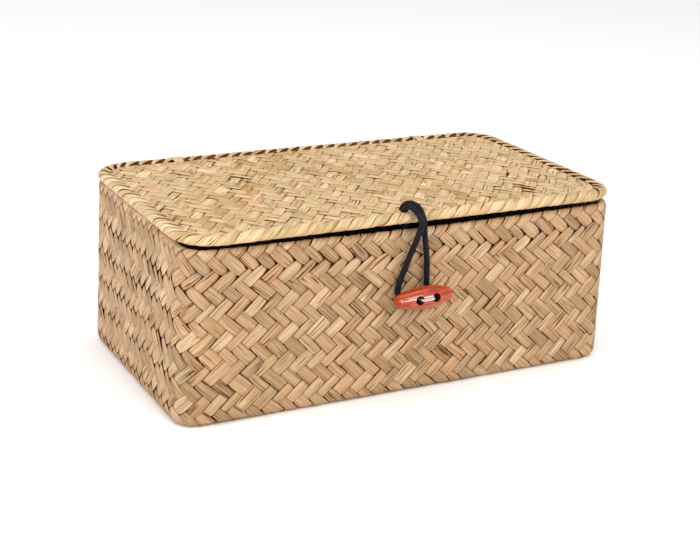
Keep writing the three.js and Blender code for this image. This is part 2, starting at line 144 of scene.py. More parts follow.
def sedge(name, tones, patch, edge, spot, spotted, roughness, relief):
    inputs = {"IOR": 1.5, "Specular IOR Level": 0.22, "Specular Tint": toLinear(sedgeLook["tint"])}
    material, shader = newMaterial(name, inputs)
    mark = addNode(material, "ShaderNodeAttribute", {}, attribute_name="fibre")
    sunk = addNode(material, "ShaderNodeAttribute", {}, attribute_name="sunk")
    parts = addNode(material, "ShaderNodeSeparateXYZ", {"Vector": (mark, "Vector")})
    value = {"sunk": (sunk, "Fac")}
    for grain, (length, width, seed, detail, rough) in sedgeGrains.items():
        inputs = {0: (mark, "Vector"), 1: (1 / (length * mm), 1 / (width * mm), seed)}
        place = addNode(material, "ShaderNodeVectorMath", inputs, operation="MULTIPLY")
        inputs = {"Vector": (place, "Vector"), "Scale": 1.0, "Detail": detail, "Roughness": rough}
        value[grain] = (addNode(material, "ShaderNodeTexNoise", inputs, noise_dimensions="3D"), "Fac")

    # Each new value comes from earlier ones: SPAN maps one span to another, the rest is arithmetic
    value["across"] = (parts, "Y")
    edgeFrom, edgeTo = (place * mm for place in sedgeLook["edgeSpan"])
    steps = [
        ("frayed", "SPAN", "worn", 0.53, 0.65, 0, 0.14),
        ("splits", "ADD", "split", "frayed"),
        ("patched", "SPAN", "patch", 0.5, 0.72, 0, 0.75),
        ("lightness", "SPAN", "fine", 0.25, 0.75, *sedgeLook["fineShade"]),
        ("creased", "SPAN", "crease", 0.3, 0.7, *sedgeLook["creaseShade"]),
        ("streak", "ADD", "lightness", "creased"),
        *((name, "POWER", "streak", power) for name, power in sedgeLook["warmth"].items()),
        ("offMiddle", "ABSOLUTE", "across"),
        ("edge", "SPAN", "offMiddle", edgeFrom, edgeTo, 0, 1),
        ("deep", "SPAN", "sunk", 0.3, 0.85, 0, 1),
        ("cracked", "SPAN", "splits", 0.72, 0.78, 0, 1),
        ("spotted", "SPAN", "spot", 1 - spotted, 1.02 - spotted, 0, 0.5),
        ("relief", "MULTIPLY", "crease", 1.6),
        ("groove", "ADD", "fine", "relief"),
        ("hidden", "MAXIMUM", "deep", "edge"),
        ("dull", "MULTIPLY", "hidden", 0.4),
        ("satin", "SPAN", "fine", 0.3, 0.7, roughness - 0.08, roughness + 0.1),
        ("rough", "ADD", "satin", "dull"),
    ]
    for result, operation, *given in steps:
        given = [value[g] if isinstance(g, str) else g for g in given]
        if operation == "SPAN":
            inputs = dict(zip(("Value", "From Min", "From Max", "To Min", "To Max"), given))
            value[result] = (addNode(material, "ShaderNodeMapRange", inputs, clamp=True), "Result")
        else:
            node = addNode(material, "ShaderNodeMath", dict(enumerate(given)), operation=operation)
            value[result] = (node, "Value")

    # The colour, laid on layer by layer
    ramp = addNode(material, "ShaderNodeValToRGB", {"Fac": (mark, "Alpha")}, tones)
    brown = addNode(material, "ShaderNodeCombineColor", {c: value[c] for c in sedgeLook["warmth"]})
    colour = (ramp, "Color")
    layers = [
        ("MIX", value["patched"], toLinear(patch)),
        ("MULTIPLY", 1.0, (brown, "Color")),
        # Painted shade: each strip darker towards its edges, where neighbouring strips meet
        ("MULTIPLY", value["edge"], toLinear(edge)),
        # Painted shade: dark brown where the strip goes under the other family, seen in the gaps
        ("MULTIPLY", value["deep"], toLinear(sedgeLook["sunkShadeTone"])),
        ("MULTIPLY", value["cracked"], toLinear(sedgeLook["splitTone"])),
        ("MIX", value["spotted"], toLinear(spot)),
    ]
    for kind, share, layer in layers:
        inputs = {0: share, 6: colour, 7: layer}  # a mix node's colour sockets
        colour = (addNode(material, "ShaderNodeMix", inputs, data_type="RGBA", blend_type=kind), 2)
    inputs = {"Strength": sedgeLook["bump"], "Distance": relief * mm, "Height": value["groove"]}
    bump = addNode(material, "ShaderNodeBump", inputs)
    setInputs(shader, {"Base Color": colour, "Roughness": value["rough"], "Normal": (bump, "Normal")})
    return material


bodyFinish = {
    "tones": [
        (0.0, "#9E8060"), (0.2, "#AB8C6A"), (0.4, "#B49471"), (0.6, "#BB9775"), (0.8, "#BCA07A"),
        (1.0, "#C8AC8A"),
    ],
    "patch": "#9B8568", "edge": "#AD8661", "spot": "#A8603C", "spotted": 0.17, "roughness": 0.56,
    "relief": 0.36,
}
lidFinish = {
    "tones": [
        (0.0, "#B99564"), (0.16, "#C6A476"), (0.34, "#CFAE84"), (0.5, "#D2AE89"), (0.66, "#C6AF83"),
        (0.82, "#C0A67C"), (1.0, "#DBBE95"),
    ],
    "patch": "#BCA67E", "edge": "#E6D3BA", "spot": "#B8633D", "spotted": 0.20, "roughness": 0.54,
    "relief": 0.3,
}
liningFinish = {
    "tones": [(0.0, "#A98A64"), (0.3, "#B39570"), (0.6, "#BA9D77"), (1.0, "#C2A882")],
    "patch": "#A78E6B", "edge": "#B8946E", "spot": "#9C5F39", "spotted": 0.15, "roughness": 0.62,
    "relief": 0.28,
}
bodySedge = sedge("plaitedSedgeBody", **bodyFinish)
lidSedge = sedge("plaitedSedgeLid", **lidFinish)
liningSedge = sedge("plaitedSedgeLining", **liningFinish)
print("straw materials made")


def densePath(points, step):
    path = np.array(points, float)
    length = np.concatenate([[0], np.cumsum(np.linalg.norm(np.diff(path, axis=0), axis=1))])
    count = max(2, int(round(length[-1] / step)) + 1)
    at = np.linspace(0, length[-1], count)
    return np.stack([np.interp(at, length, path[:, i]) for i in range(path.shape[1])], 1), at


def arcPoints(inset, height, radius, fromTurn, toTurn):
    turns = np.radians(np.linspace(fromTurn, toTurn, 17))
    return [(inset - radius * math.cos(t), height + radius * math.sin(t)) for t in turns]


# A section line as a function of the length along it and the height over it
def rail(points):
    path, at = densePath(points, 0.2)
    tangent = np.gradient(path, at, axis=0)
    tangent /= np.linalg.norm(tangent, axis=1)[:, None]

    def where(run, over):
        inset = np.interp(run, at, path[:, 0]) - np.interp(run, at, tangent[:, 1]) * over
        height = np.interp(run, at, path[:, 1]) + np.interp(run, at, tangent[:, 0]) * over
        return inset, height

    return where, at[-1]


outlineX = np.array([[0, -1], [-1, -1], [-1, -1], [-1, -1], [-1, 1], [1, 1], [1, 1], [1, 1], [1, 0]])
outlineY = np.array([[1, 1], [1, 1], [1, -1], [-1, -1], [-1, -1], [-1, -1], [-1, 1], [1, 1], [1, 1]])
outlineTurn = np.radians(
    [[90, 90], [90, 180], [180, 180], [180, 270], [270, 270], [270, 360], [360, 360], [360, 450], [450, 450]]
)


# A point of a round-cornered rectangle, run anticlockwise from the middle of its back
def roundOutline(run, halfX, halfY, radius, laid):
    longSide, shortSide, arc = laid
    legs = np.array([longSide / 2, arc, shortSide, arc, longSide, arc, shortSide, arc, longSide / 2])
    stops = np.concatenate([[0], np.cumsum(legs)])
    run = run % stops[-1]
    leg = np.clip(np.searchsorted(stops, run, side="right") - 1, 0, 8)
    share = (run - stops[leg]) / legs[leg]
    x, y, turn = (t[leg, 0] * (1 - share) + t[leg, 1] * share for t in (outlineX, outlineY, outlineTurn))
    return x * (halfX - radius) + radius * np.cos(turn), y * (halfY - radius) + radius * np.sin(turn)


# How far a point lies inside a round-cornered rectangle
def insideOutline(x, y, halfX, halfY, radius):
    overX, overY = np.abs(x) - (halfX - radius), np.abs(y) - (halfY - radius)
    outside = np.hypot(np.maximum(overX, 0), np.maximum(overY, 0))
    return radius - outside - np.minimum(np.maximum(overX, overY), 0)


def ease(value, low, high):
    share = np.clip((value - low) / (high - low), 0, 1)
    return share * share * (3 - 2 * share)


stripSection = np.array(
    [(-1, 0.1), (-0.95, 0.43), (0, 0.5), (0.95, 0.43), (1, 0.1), (0.7, -0.5), (-0.7, -0.5)]
)
markHalf = 2.4  # half of each strip's width in the marks that its material reads
plait = {
    "leastLength": 3,  # shorter ends of strips are left out
    "freeFloat": 7.0,  # between the uneven places of a strip that crosses no other
    "freeReach": 9, "reach": 16,  # how far past a strip's ends its uneven places and its turns go
    "steep": (-1, -0.35, 0.35, 1),  # where a turn gets points of its own, as shares of the ramp
    "curl": 0.15, "liftSpread": 0.12, "liftStray": 0.03, "widthSpread": 0.03, "toneSpread": 0.13,
    "leastLevel": 0.03,  # of any strip over the table
}


# What the straw material reads: place along and across the strip, a number of its own, its tone,
# and how far it is down in the weave, which the material paints dark as shade
def fibreMarks(along, across, drift, tone, sunk=0.0):
    marks = np.empty(across.shape + (5,))
    marks[..., 0] = along[:, None] * mm
    marks[..., 1] = across * mm
    marks[..., 2] = drift
    marks[..., 3] = tone
    marks[..., 4] = sunk
    return marks


# The strips of one family: their numbers, their middles and the room that each has
def spreadStrips(weave, first, count, shift, dice):
    loose = np.clip(dice.normal(0, weave["uneven"], count + 1), -0.21, 0.21)
    loose[-1] = loose[0]
    edges = (first + np.arange(count + 1) + loose) * weave["lattice"] + shift
    return first + np.arange(count), (edges[1:] + edges[:-1]) / 2, np.diff(edges)


# The same strips once more to both sides, for walls that close on themselves
def wrapped(family, around):
    numbers, middles, rooms = family
    return (
        np.concatenate([numbers - len(numbers), numbers, numbers + len(numbers)]),
        np.concatenate([middles - around, middles, middles + around]),
        np.tile(rooms, 3),
    )


# Where a strip changes between over and under, and the side it comes from: over is 1, under is -1
def findTurns(weave, way, number, middle, others):
    order = np.argsort(way * others[1])
    numbers, middles, rooms = (values[order] for values in others)
    meet, rooms = way * (middles - middle) / 2, rooms / 4
    step = number + numbers if weave["columns"] else way * (numbers - number)
    over = np.where((step + weave["offset"]) % 4 < 2, way, -way)
    at = np.flatnonzero(np.diff(over))
    return (meet[at] + rooms[at] + meet[at + 1] - rooms[at + 1]) / 2, over[at]


# How much a strip narrows at its turns, which leaves the rows of small dark holes
def waistAt(weave, run, rise, kind):
    waist = np.where(kind > 0, *weave["waist"])
    if "sideWaist" in weave:
        short = np.interp((run / bodyAround) % 1, weave["sideAt"], (0, 1, 1, 0, 0, 1, 1, 0))
        waist = np.where((rise > weave["topFrom"]) & (kind > 0), weave["topWaist"], waist)
        side = np.where(kind > 0, *weave["sideWaist"]) * (rise < weave["sidePlainFrom"])
        waist = waist + short * (side - waist)
    return waist


# Slanting strips, each over two and under two of the other family
def layStrips(weave, way, mine, others, spans, place, dice):
    ramp, strips = weave["ramp"], []
    for number, middle, room, (low, high) in zip(*mine, spans):
        if high - low < plait["leastLength"]:
            continue
        turns = np.arange(low - plait["freeReach"], high + plait["freeReach"], plait["freeFloat"])
        before = np.zeros(len(turns))
        if others is not None:
            turns, before = findTurns(weave, way, number, middle, others)
            near = (turns > low - plait["reach"]) & (turns < high + plait["reach"])
            turns, before = turns[near] + dice.normal(0, weave["slack"], near.sum()), before[near]
        stops = (turns[:, None] + ramp * np.array(plait["steep"])).ravel()
        stops = np.sort(np.concatenate([[low, high], stops[(stops > low) & (stops < high)]]))
        parts = []
        for a, b in zip(stops, stops[1:]):
            parts.append(np.linspace(a, b, math.ceil((b - a) / weave["gap"]), endpoint=False))
        t = np.concatenate(parts + [[high]])
        eased = ease(t, (turns - ramp)[:, None], (turns + ramp)[:, None])
        swing = before[0] - 2 * (before[:, None] * eased).sum(0)
        floats = (turns[1:] + turns[:-1]) / 2

        def uneven(size):
            return np.interp(t, floats, dice.normal(0, size, len(floats)))

        curls = dice.random(len(floats)) < weave["curled"]
        curl = curls * dice.choice([-plait["curl"], plait["curl"]], len(floats))
        tilt = weave["lean"] + uneven(weave["tilt"]) + np.interp(t, floats, curl)
        lift = weave["lift"] * swing * (1 + uneven(plait["liftSpread"])) + uneven(plait["liftStray"])
        waist = waistAt(weave, middle + way * turns, turns, before * way)
        narrowing = (waist * np.exp(-(((t[:, None] - turns) / weave["waistReach"]) ** 2))).sum(1)
        share = (middle + way * t) / weave["lattice"] / weave.get("count", 1) % 1
        cover = np.interp(share, *weave["cover"])
        half = room / math.sqrt(8) * cover * (1 - narrowing) * (1 + uneven(plait["widthSpread"]))
        if "taper" in weave:
            taper = np.interp(share, *weave["taper"])
            half = half * (1 - taper * ease(t, high - weave["taperLength"], high - 1.5))
        across = stripSection[:, 0] * half[:, None]
        over = lift[:, None] + stripSection[:, 1] * weave["thickness"] + tilt[:, None] * across
        shift = (across + uneven(weave["wander"])[:, None]) / math.sqrt(2)
        points = place(middle + way * t[:, None] + shift, t[:, None] - way * shift, over)
        tone = np.clip(dice.uniform(*weave["tones"][way]) + uneven(plait["toneSpread"]), 0, 1)[:, None]
        wide = np.broadcast_to(stripSection[:, 0] * markHalf, across.shape)
        # How far under the other family each point lies: its material paints this as shade
        sunk = 0 if others is None else (1 - swing[:, None]) / 2
        marks = fibreMarks(t * math.sqrt(2), wide, dice.random(), tone, sunk)
        strips.append((points, marks))
    return strips


# One mesh of closed strips, with each strip's own fibre marks and its own cell to bake into
def stripMesh(name, strips, material):
    size = strips[0][0].shape[1]
    longest = max(len(points) for points, marks in strips)
    columns = max(1, round(math.sqrt(len(strips) * longest / 9)))
    rows = math.ceil(len(strips) / columns)
    vertices, marks, quads, ends, quadPlaces, endPlaces = [], [], [], [], [], []
    base = 0
    for number, (points, mark) in enumerate(strips):
        count = len(points)
        k, c = np.meshgrid(np.arange(count - 1), np.arange(size), indexing="ij")
        here, beside = k * size + c, k * size + (c + 1) % size
        ring = np.stack([here, beside, beside + size, here + size], -1).reshape(-1, 4)
        across = np.stack([c, c + 1, c + 1, c], -1).reshape(-1, 4) / size
        along = np.stack([k, k, k + 1, k + 1], -1).reshape(-1, 4) / longest
        flat = points.reshape(-1, 3)
        middle = flat.mean(0)
        a, b, d = flat[ring[:, 0]] - middle, flat[ring[:, 1]] - middle, flat[ring[:, 2]] - middle
        caps = [np.arange(size)[::-1], (count - 1) * size + np.arange(size)]
        if np.einsum("ij,ij->i", a, np.cross(b, d)).sum() < 0:
            ring, across, along = ring[:, ::-1], across[:, ::-1], along[:, ::-1]
            caps = [cap[::-1] for cap in caps]
        column, line = number % columns, number // columns
        # The strip's sides fill most of its cell, and its two ends are small discs above them
        place = [(column + 0.04 + 0.92 * across) / columns, (line + 0.02 + 0.92 * along) / rows]
        turn = 2 * math.pi * np.arange(size) / size
        for j, cap in enumerate(caps):
            disc = np.stack([
                (column + 0.3 + 0.4 * j + 0.15 * np.cos(turn)) / columns,
                (line + 0.97 + 0.015 * np.sin(turn)) / rows,
            ], -1)
            ends.append(cap + base)
            endPlaces.append(disc)
        vertices.append(flat)
        marks.append(mark.reshape(-1, 5))
        quads.append(ring + base)
        quadPlaces.append(np.stack(place, -1))
        base += len(flat)
    loops = np.concatenate([np.concatenate(quads).ravel(), np.concatenate(ends)])
    places = np.concatenate([np.concatenate(quadPlaces).reshape(-1, 2), np.concatenate(endPlaces)])
    quadCount = sum(len(q) for q in quads)
    starts = np.concatenate([np.arange(quadCount) * 4, quadCount * 4 + np.arange(len(ends)) * size])
    mesh = bpy.data.meshes.new(name)
    mesh.vertices.add(base)
    mesh.vertices.foreach_set("co", (np.concatenate(vertices) * mm).ravel())
    mesh.loops.add(len(loops))
    mesh.loops.foreach_set("vertex_index", loops.astype(np.int32))
    mesh.polygons.add(len(starts))
    mesh.polygons.foreach_set("loop_start", starts.astype(np.int32))
    mesh.update(calc_edges=True)
    mesh.polygons.foreach_set("use_smooth", np.ones(len(starts), bool))
    marks = np.concatenate(marks)
    mesh.attributes.new("fibre", "FLOAT_COLOR", "POINT").data.foreach_set("color", marks[:, :4].ravel())
    mesh.attributes.new("sunk", "FLOAT", "POINT").data.foreach_set("value", marks[:, 4].copy())
    mesh.uv_layers.new(name="OFBake").data.foreach_set("uv", places.ravel())
    mesh.validate()
    mesh.materials.append(material)
    return newObject(name, mesh)


body = {
    "topLength": 226, "topDepth": 126, "footGain": 5, "footLoss": 2, "height": 84.3,
    "cornerRadius": 12, "footRadius": 4.3, "outerMiddle": 0.7, "liningMiddle": 2.35, "turnedMiddle": 3.75,
    "turnedFoot": 78.2, "hem": 9.5, "liningTop": 79.2, "longSpread": 1.05, "shortSpread": 0.905,
    "dipAt": (-115, -90, -40, 0, 40, 90, 115), "dip": (0.9, 1.5, 2.0, 2.7, 2.6, 1.9, 1.2),
    "seed": 20, "liningSeed": 30, "rimGap": 0.6, "hoopInset": 2.2, "hoopHeight": 81.5, "hoopDiameter": 1.7,
    "wave": (0.5, 0.3, 0.8, 0.35),  # hand plaiting runs a little off true
}
# Lift is how far a strip goes over or under, ramp and gap how soon and in what steps. Waists are
# the narrowing at its turns, and cover is its share of its room, by place round the box from the
# middle of the back. Slack, tilt, curled, wander and uneven are how far strips stray, and tones
# are the span of the colour ramp that each of the two directions takes: on the walls the rising
# strips take the lighter part, as painted light for the sheen that one direction catches more.
bodyWeave = {
    "count": 92, "thickness": 0.5, "lift": 0.3, "ramp": 0.9, "gap": 1.3, "waist": (0.05, 0.08),
    "waistReach": 1.15, "uneven": 0.1, "slack": 0.12, "tilt": 0.045,
    "cover": ((0.14, 0.175, 0.325, 0.36, 0.64, 0.675), (0.992, 1.05, 1.05, 0.992, 0.992, 1)),
    "lean": 0.0, "curled": 0.05, "wander": 0.14, "offset": 0, "rowShift": 0.08, "columns": False,
    # Painted light: the rising strips (1) take the lighter part of the ramp, the falling ones the darker
    "tones": {1: (0.4, 1), -1: (0, 0.6)}, "sideWaist": (0.0, 0.45), "topWaist": 0.3, "topFrom": 72,
    "sideAt": (0.14, 0.175, 0.325, 0.36, 0.64, 0.675, 0.825, 0.86), "sidePlainFrom": 75,
}
leastRadius = 0.5  # of a corner that its inset leaves


# Half length, half depth and corner radius of an outline that lies inside another
def inner(length, depth, cornerRadius, inset):
    return length / 2 - inset, depth / 2 - inset, cornerRadius - inset


# The lengths that the sides and corners of an outline take up among the strips
def outlineRun(halfX, halfY, radius, longSpread=1, shortSpread=1):
    return 2 * (halfX - radius) / longSpread, 2 * (halfY - radius) / shortSpread, math.pi / 2 * radius


bodyTop = (body["topLength"], body["topDepth"], body["cornerRadius"])
bodyRun = outlineRun(*inner(*bodyTop, body["outerMiddle"]), body["longSpread"], body["shortSpread"])
bodyAround = 2 * bodyRun[0] + 2 * bodyRun[1] + 4 * bodyRun[2]
bodyWeave["lattice"] = bodyAround / bodyWeave["count"]


# The front of the real rim sags a little, most in the middle
def rimDip(x, y, height):
    return np.interp(x, body["dipAt"], body["dip"]) * ease(-y, 20, 62) * ease(height, 50, 84)


def onBody(where):
    def place(run, rise, over):
        turn = 2 * math.pi * run / bodyAround
        a, b, c, d = body["wave"]
        rise = rise + a * np.sin(3 * turn + 1.3) + b * np.sin(8 * turn)
        run = run + c * np.sin(2 * turn + rise / 23) + d * np.sin(rise / 7 + 1)
        inset, height = where(rise, over)
        share = 1 - height / body["height"]
        halfX = (body["topLength"] + body["footGain"] * share) / 2 - inset
        halfY = (body["topDepth"] - body["footLoss"] * share) / 2 - inset
        radius = np.maximum(body["cornerRadius"] - inset, leastRadius)
        x, y = roundOutline(run, halfX, halfY, radius, bodyRun)
        return np.stack([x, y, np.maximum(height - rimDip(x, y, height), plait["leastLevel"])], -1)

    return place


# Both families of strips round the walls, on one section line
def weaveWalls(name, weave, section, seed, material):
    where, length = rail(section)
    dice = np.random.default_rng(seed)
    families = {}
    for way in (1, -1):
        families[way] = spreadStrips(weave, 0, weave["count"], (1 - way) * weave["rowShift"], dice)
    pieces = []
    for way in (1, -1):
        ends = dice.uniform(0.2, 0.8, (weave["count"], 2))
        others = wrapped(families[-way], bodyAround)
        spans = [(a, length - b) for a, b in ends]
        strips = layStrips(weave, way, families[way], others, spans, onBody(where), dice)
        pieces.append(stripMesh(name + {1: "Rising", -1: "Falling"}[way], strips, material))
    return pieces


liningChange = {"lift": 0.24, "thickness": 0.42}
plainWaist = {"topWaist": 0.14, "sideWaist": (0.14, 0.12)}


def weaveBody():
    foot, outer = body["footRadius"], body["outerMiddle"]
    rimRadius = (body["turnedMiddle"] - outer) / 2
    rimCentre = outer + rimRadius
    rimHeight = body["height"] - body["rimGap"] - rimRadius
    outside = [(body["hem"], outer)] + arcPoints(foot, foot, foot - outer, -90, 0)
    outside += arcPoints(rimCentre, rimHeight, rimRadius, 0, 180)
    outside.append((body["turnedMiddle"], body["turnedFoot"]))
    pieces = weaveWalls("bodyPlait", bodyWeave, outside, body["seed"], bodySedge)
    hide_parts("body_outer_weave")
    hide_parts("rim_roll")
    for piece in pieces:
        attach(piece, "box")
    lining = [(body["liningMiddle"], body["liningTop"])]
    lining += arcPoints(foot, foot, foot - body["liningMiddle"], 0, -90)
    lining.append((body["hem"], body["liningMiddle"]))
    weave = dict(bodyWeave, gap=1.9, **liningChange, **plainWaist)
    pieces = weaveWalls("liningPlait", weave, lining, body["liningSeed"], liningSedge)
    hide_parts("body_lining_weave")
    for piece in pieces:
        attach(piece, "box")


# The stretch of each slanting strip that lies inside the outline
def flatSpans(weave, way, middles, outline):
    spans = []
    t = np.arange(-outline[1], outline[1], 0.25)
    for middle in middles:
        inside = insideOutline(weave["narrow"] * (middle + way * t), t, *outline) > 0
        spans.append((t[inside].min(), t[inside].max()) if inside.any() else (0, 0))
    return spans


# A flat sheet facing up (side 1) or down (side -1), whose edge dives under what is rolled round it.
# baseSheets and lid give its level, side, depth and width of the dive, and seed in this order
def weaveSheet(name, weave, outline, level, side, dive, width, seed, material):
    def place(x, y, over):
        x = x * weave["narrow"]
        depth = dive * (1 - ease(insideOutline(x, y, *outline), 0, width))
        bentX = x + 0.5 * np.sin(y / 19 + 0.6) + 0.25 * np.sin(y / 8)
        bentY = y + 0.5 * np.sin(x / 27 + 1.1)
        return np.stack([bentX, bentY, np.maximum(level + side * (over - depth), plait["leastLevel"])], -1)

    dice = np.random.default_rng(seed)
    reach = math.ceil((outline[0] / weave["narrow"] + outline[1]) / weave["lattice"]) + 1
    families = {way: spreadStrips(weave, -reach, 2 * reach + 1, 0, dice) for way in (1, -1)}
    strips = []
    for way in (1, -1):
        spans = flatSpans(weave, way, families[way][1], outline)
        strips += layStrips(weave, way, families[way], families[-way], spans, place, dice)
    # Painted shade: where the sheet dives under what is rolled round it, it is marked sunk and painted dark
    for points, marks in strips:
        under = 1 - ease(insideOutline(points[..., 0], points[..., 1], *outline), 0, width)
        marks[..., 4] = np.maximum(marks[..., 4], 0.9 * under)
    return stripMesh(name, strips, material)


baseSheets = {
    "outline": (108, 56, 5),  # half length, half depth and corner radius
    "under": (0.8, -1, 1.3, 5, 41), "upper": (2.35, 1, 0.6, 3, 42),
}


def weaveFloor():
    outline = baseSheets["outline"]
    weave = dict(bodyWeave, gap=2.2, narrow=1, **plainWaist)
    under = weaveSheet("basePlait", weave, outline, *baseSheets["under"], bodySedge)
    weave = dict(weave, **liningChange)
    upper = weaveSheet("floorPlait", weave, outline, *baseSheets["upper"], liningSedge)
    for piece, finish in ((under, "body_straw"), (upper, "lining_straw")):
        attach(piece, "box")


weaveBody()
weaveFloor()
print("body woven")

lid = {
    "length": 230, "depth": 130, "cornerRadius": 19, "middle": 87.3, "rollRadius": 2.7, "rollMiddle": 2.1,
    "sheetInset": 4.2, "top": (88.6, 1, 1.7, 4.4, 51), "under": (86.35, -1, 0.6, 5, 52),
    "wrapUnder": ((9.5, -0.4), (8.5, -1.2)), "wrapOver": ((6.6, 1.75), (8.4, 0.7)), "wrapSeed": 53,
    "hoopDiameter": 3.3, "hoopInset": 2.6,
}
lidWeave = {
    "lattice": 7.75, "narrow": 0.8, "thickness": 0.46, "lift": 0.23, "ramp": 0.9, "gap": 1.5,
    "waist": (0.32, 0.02), "waistReach": 1.2, "cover": ((0, 1), (1.02, 1.02)), "uneven": 0.09, "slack": 0.14,
    "tilt": 0.04, "lean": 0.0, "curled": 0.04, "wander": 0.12, "offset": 0, "columns": True,
    "tones": {1: (0, 1), -1: (0, 1)},
}
wrapWeave = {
    "count": 98, "thickness": 0.42, "lift": 0.0, "ramp": 0.9, "gap": 0.9, "waist": (0, 0), "waistReach": 1,
    "cover": ((0, 0.15, 0.18, 0.65, 0.68, 1), (0.92, 0.92, 0.995, 0.995, 0.93, 0.92)), "uneven": 0.07,
    # Painted light: the wraps take the top of the ramp, lighter than the sheet, for the light the roll
    # catches
    "tilt": 0.03, "lean": 0.015, "curled": 0.03, "wander": 0.1, "tones": {1: (0.85, 1.05)},
    "taper": ((0, 0.14, 0.17, 0.31, 0.36, 0.62, 0.66, 1), (0.6, 0.6, 0.46, 0.46, 0.04, 0.04, 0.62, 0.6)),
    "taperLength": 6.8,
}
lidTop = (lid["length"], lid["depth"], lid["cornerRadius"])
lidRun = outlineRun(*inner(*lidTop, lid["rollRadius"]))
lidAround = 2 * lidRun[0] + 2 * lidRun[1] + 4 * lidRun[2]
wrapWeave["lattice"] = lidAround / wrapWeave["count"]


def onLidEdge(where):
    def place(run, rise, over):
        inset, height = where(rise, over)
        halfX, halfY, radius = inner(*lidTop, inset)
        x, y = roundOutline(run, halfX, halfY, np.maximum(radius, leastRadius), lidRun)
        return np.stack([x, y, height], -1)

    return place


def weaveLid():
    outline = inner(*lidTop, lid["sheetInset"])
    top = weaveSheet("lidPlait", lidWeave, outline, *lid["top"], lidSedge)
    weave = dict(lidWeave, gap=2.2, lift=0.22, thickness=0.4)
    under = weaveSheet("lidLiningPlait", weave, outline, *lid["under"], liningSedge)
    roll, middle, z = lid["rollRadius"], lid["rollMiddle"], lid["middle"]
    section = [(inset, z + rise) for inset, rise in lid["wrapUnder"]] + [(7, z - middle + 0.1)]
    section += arcPoints(roll, z, middle, -90, 90) + [(4.4, z + middle)]
    section += [(inset, z + rise) for inset, rise in lid["wrapOver"]]
    where, length = rail(section)
    dice = np.random.default_rng(lid["wrapSeed"])
    family = spreadStrips(wrapWeave, 0, wrapWeave["count"], 0, dice)
    spans = [(a, length - b) for a, b in dice.uniform(0.2, 1.7, (wrapWeave["count"], 2))]
    strips = layStrips(wrapWeave, 1, family, None, spans, onLidEdge(where), dice)
    wraps = stripMesh("lidEdgeWraps", strips, lidSedge)
    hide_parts("lid_top_weave")
    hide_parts("lid_lining_weave")
    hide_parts("lid_edge_roll")
    for piece, finish in ((top, "lid_straw"), (under, "lining_straw"), (wraps, "lid_straw")):
        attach(piece, "lid")


weaveLid()
print("lid woven")


def between(t, low, high, start, end):
    return (high - t) / (high - low) * start + (t - low) / (high - low) * end


# A smooth line through the points, with its speed set by the root of their spacing
def centripetal(points, perSpan):
    p = np.array(points, float)
    p = np.vstack([2 * p[0] - p[1], p, 2 * p[-1] - p[-2]])
    line = []
    for i in range(1, len(p) - 2):
        a, b, c, d = p[i - 1 : i + 3]
        t0 = 0
        t1 = t0 + math.sqrt(np.linalg.norm(b - a))
        t2 = t1 + math.sqrt(np.linalg.norm(c - b))
        t3 = t2 + math.sqrt(np.linalg.norm(d - c))
        for t in np.linspace(t1, t2, perSpan, endpoint=False):
            middle = between(t, t1, t2, b, c)
            left = between(t, t0, t2, between(t, t0, t1, a, b), middle)
            right = between(t, t1, t3, middle, between(t, t2, t3, c, d))
            line.append(between(t, t1, t2, left, right))
    line.append(p[-2])
    return np.array(line)


# Two side directions at each point of a line, carried along it without twist
def carriedFrames(line, closed=False):
    ahead = np.gradient(line, axis=0)
    if closed:
        ahead = np.roll(line, -1, 0) - np.roll(line, 1, 0)
    ahead /= np.linalg.norm(ahead, axis=1)[:, None]
    side = np.cross(ahead[0], (0.13, 0.31, 0.94))
    sides = []
    for direction in ahead:
        side = side - direction * side.dot(direction)
        side = side / np.linalg.norm(side)
        sides.append(side)
    sides = np.array(sides)
    return ahead, sides, np.cross(ahead, sides)


# Rings round a line, with grooves that wind along it, and fibre marks for its material
def tubeRings(line, radius, sides, plies, groove, turnsPerMm, closed=False):
    ahead, side, other = carriedFrames(line, closed)
    length = np.concatenate([[0], np.cumsum(np.linalg.norm(np.diff(line, axis=0), axis=1))])
    turn = 2 * math.pi * np.arange(sides) / sides
    wound = plies / 2 * (turn[None, :] + 2 * math.pi * turnsPerMm * length[:, None])
    size = np.reshape(radius, (-1, 1)) * (1 - groove * (1 - np.abs(np.cos(wound))))
    ring = side[:, None] * np.cos(turn)[None, :, None] + other[:, None] * np.sin(turn)[None, :, None]
    points = line[:, None] + ring * size[..., None]
    return points, fibreMarks(length, np.cos(wound) / mm, 0.5, 0.5)


cordRoute = [
    (-4.9, -56.7, 84.6), (-5.0, -57.2, 86.6), (-5.1, -57.9, 88.6), (-5.1, -59.2, 90.6), (-5.0, -61.1, 92.1),
    (-4.7, -63.3, 92.8), (-4.2, -65.4, 92.5), (-3.5, -67.3, 91.4), (-2.8, -68.8, 89.7), (-2.2, -69.6, 87.6),
    (-2.1, -69.6, 85.4), (-3.2, -68.6, 79.6), (-5.0, -67.0, 72.5), (-7.1, -65.8, 65.0), (-8.9, -64.9, 58.5),
    (-9.8, -64.5, 54.0), (-8.6, -64.4, 50.0), (-4.9, -64.4, 47.2), (0.0, -64.4, 47.2), (4.0, -64.4, 50.0),
    (5.4, -64.5, 54.0), (5.0, -65.0, 60.0), (4.1, -65.7, 67.8), (2.9, -66.3, 73.6), (1.7, -66.8, 79.4),
    (0.9, -67.0, 85.0), (0.4, -67.0, 87.4), (-0.1, -66.6, 89.6), (-0.8, -65.3, 91.8), (-1.7, -63.0, 93.2),
    (-2.7, -60.3, 93.5), (-3.5, -57.7, 92.7), (-4.0, -55.7, 91.0), (-4.2, -54.5, 88.7), (-4.1, -54.1, 86.6),
    (-3.9, -54.0, 84.6),
]
cord = {
    "diameter": 2.8, "ribs": 8, "groove": 0.13, "turns": 0.012, "sides": 48, "stitch": 0.9,
    "knot": ((-4.0, -55.1, 81.3), (4.1, 3.05, 2.9), 1.35),  # its middle, half sizes and strand radius
}


